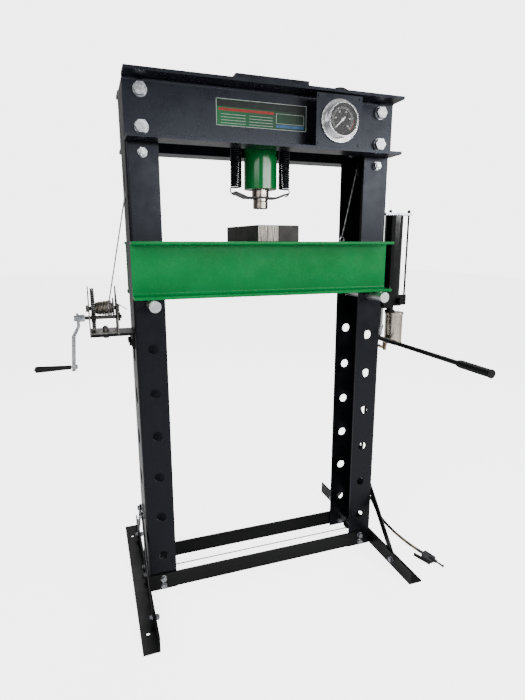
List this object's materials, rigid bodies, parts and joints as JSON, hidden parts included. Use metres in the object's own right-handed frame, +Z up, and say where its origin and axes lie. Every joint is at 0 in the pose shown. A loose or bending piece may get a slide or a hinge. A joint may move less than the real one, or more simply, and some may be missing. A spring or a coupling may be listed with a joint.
{
  "type": "hydraulic shop press",
  "caption": "Two-post H-frame workshop press with a hydraulic ram, winch-lifted height-adjustable bed, pressure gauge and air-over-oil foot pump.",
  "frame": {"origin": "On the floor under the ram's axis, midway between the four floor anchor holes", "axes": "X across the press to the pump side, Y to the back, Z up"},
  "size_m": [1.5002, 1.008, 1.8641],
  "materials": {
    "black_paint": "black gloss enamel",
    "green_paint": "green gloss enamel",
    "zinc": "zinc plated",
    "steel": "machined steel",
    "rope_wire": "stranded galvanised wire",
    "chrome": "polished chrome",
    "dial_print": "black dial with white scale",
    "pointer_paint": "white paint",
    "lens": "clear",
    "plate_print": "printed sheet",
    "motor_alloy": "brushed",
    "spring_black": "black oxide",
    "rubber_hose": "black rubber",
    "black_plastic": "moulded plastic",
    "grip_rubber": "ribbed rubber",
    "brass_part": "turned brass"
  },
  "bodies": {
    "frame": {"left_upright": "black_paint", "right_upright": "black_paint", "front_crown_beam": "black_paint", "rear_crown_beam": "black_paint", "crown_plates": "black_paint", "crown_bolts": "zinc", "tie_rails": "black_paint", "left_foot": "black_paint", "right_foot": "black_paint", "foot_braces": "black_paint", "frame_bolts": "zinc", "gauge_panel": "black_paint", "gauge_case": "chrome", "gauge_dial": "dial_print", "gauge_lens": "lens", "gauge_tube": "steel", "data_plate": "plate_print", "cylinder_barrel": "green_paint", "cylinder_gland": "green_paint", "return_springs": "spring_black", "hydraulic_hose": "rubber_hose", "winch_bracket": "black_paint", "winch_frame": "zinc", "lift_rope": "rope_wire", "bed_ropes": "rope_wire", "level_rope": "rope_wire", "left_level_rope": "rope_wire", "pump_bracket": "black_paint", "oil_reservoir": "black_paint", "reservoir_cap": "zinc", "pump_block": "black_paint", "air_motor": "motor_alloy", "air_fitting": "brass_part", "air_hose": "rubber_hose", "air_valve": "motor_alloy"},
    "ram": {"piston": "steel", "ram_rod": "chrome", "ram_nose": "chrome", "spring_bar": "black_paint"},
    "bed": {"front_bed_channel": "green_paint", "rear_bed_channel": "green_paint", "bed_spacers": "green_paint", "press_plates": "steel"},
    "left_pin": {"left_bed_pin": "zinc"},
    "right_pin": {"right_bed_pin": "zinc"},
    "drum": {"winch_drum": "zinc"},
    "pinion": {"winch_pinion": "steel", "winch_crank": "zinc"},
    "grip": {"crank_grip": "black_plastic"},
    "pawl": {"ratchet_pawl": "steel"},
    "upper_left_wheel": {"top_left_pulley": "steel"},
    "upper_right_wheel": {"top_right_pulley": "steel"},
    "lower_left_wheel": {"bottom_left_pulley": "steel"},
    "lower_right_wheel": {"bottom_right_pulley": "steel"},
    "plunger": {"pump_plunger": "chrome"},
    "lever": {"pump_lever": "black_paint", "lever_grip": "grip_rubber"},
    "knob": {"release_valve": "black_paint"},
    "pointer": {"gauge_pointer": "pointer_paint"},
    "trigger": {"valve_trigger": "black_plastic"}
  },
  "joints": [
    {"name": "ram_slide", "type": "slide", "parent": "frame", "child": "ram", "axis": [0, 0, -1], "range_m": [0, 0.045], "stiffness_N_per_m": 4000, "springref_m": -0.06, "deforming": ["return_springs"]},
    {"name": "bed_lift", "type": "slide", "parent": "frame", "child": "bed", "axis": [0, 0, 1], "range_m": [0, 0.014], "deforming": ["bed_ropes", "left_level_rope"]},
    {"name": "left_pin_slide", "type": "slide", "parent": "frame", "child": "left_pin", "axis": [0, -1, 0], "range_m": [0, 0.27]},
    {"name": "right_pin_slide", "type": "slide", "parent": "frame", "child": "right_pin", "axis": [0, -1, 0], "range_m": [0, 0.27]},
    {"name": "drum_spin", "type": "hinge", "parent": "frame", "child": "drum", "pos_m": [-0.57, 0.022, 1.077], "axis": [1, 0, 0], "range_deg": [0, 60]},
    {"name": "crank_spin", "type": "hinge", "parent": "frame", "child": "pinion", "pos_m": [-0.57, -0.05623, 1.056], "axis": [1, 0, 0], "range_deg": [-300, 0]},
    {"name": "grip_spin", "type": "hinge", "parent": "pinion", "child": "grip", "pos_m": [-0.74, -0.05623, 0.893], "axis": [1, 0, 0], "continuous": true},
    {"name": "pawl_swing", "type": "hinge", "parent": "frame", "child": "pawl", "pos_m": [-0.525, -0.03623, 1.09], "axis": [-1, 0, 0], "range_deg": [0, 25], "stiffness_Nm_per_rad": 0.05, "springref_deg": -17.19},
    {"name": "upper_left_turn", "type": "hinge", "parent": "frame", "child": "upper_left_wheel", "pos_m": [-0.425, 0, 1.577], "axis": [0, -1, 0], "range_deg": [0, 90]},
    {"name": "upper_right_turn", "type": "hinge", "parent": "frame", "child": "upper_right_wheel", "pos_m": [0.425, 0, 1.577], "axis": [0, 1, 0], "range_deg": [0, 90]},
    {"name": "lower_left_turn", "type": "hinge", "parent": "frame", "child": "lower_left_wheel", "pos_m": [-0.425, 0, 0.052], "axis": [0, 1, 0], "range_deg": [0, 90]},
    {"name": "lower_right_turn", "type": "hinge", "parent": "frame", "child": "lower_right_wheel", "pos_m": [0.425, 0, 0.052], "axis": [0, 1, 0], "range_deg": [0, 90]},
    {"name": "lever_swing", "type": "hinge", "parent": "frame", "child": "lever", "pos_m": [0.538, 0.025, 0.903], "axis": [-1, 0, 0], "range_deg": [0, 30]},
    {"name": "plunger_slide", "type": "slide", "parent": "frame", "child": "plunger", "axis": [0, 0, 1], "range_m": [0, 0.02]},
    {"name": "release_turn", "type": "hinge", "parent": "frame", "child": "knob", "pos_m": [0.6, -0.05, 1.063], "axis": [0, 1, 0], "range_deg": [0, 270]},
    {"name": "pointer_swing", "type": "hinge", "parent": "frame", "child": "pointer", "pos_m": [0.224, -0.19, 1.7], "axis": [0, 1, 0], "range_deg": [0, 270], "stiffness_Nm_per_rad": 0.002, "springref_deg": -11.46},
    {"name": "trigger_press", "type": "hinge", "parent": "frame", "child": "trigger", "pos_m": [0.63309, -0.30462, 0.011], "axis": [0, 0, -1], "range_deg": [0, 14], "stiffness_Nm_per_rad": 0.5, "springref_deg": -5.73}
  ],
  "couplings": [
    {"joint": "drum_spin", "follows": "bed_lift", "rad_per_m": 33.333},
    {"joint": "crank_spin", "follows": "bed_lift", "rad_per_m": -166.67},
    {"joint": "upper_left_turn", "follows": "bed_lift", "rad_per_m": 35.971},
    {"joint": "upper_right_turn", "follows": "bed_lift", "rad_per_m": 35.971},
    {"joint": "lower_left_turn", "follows": "bed_lift", "rad_per_m": 48.077},
    {"joint": "lower_right_turn", "follows": "bed_lift", "rad_per_m": 48.077},
    {"joint": "plunger_slide", "follows": "lever_swing", "m_per_rad": 0.034}
  ]
}
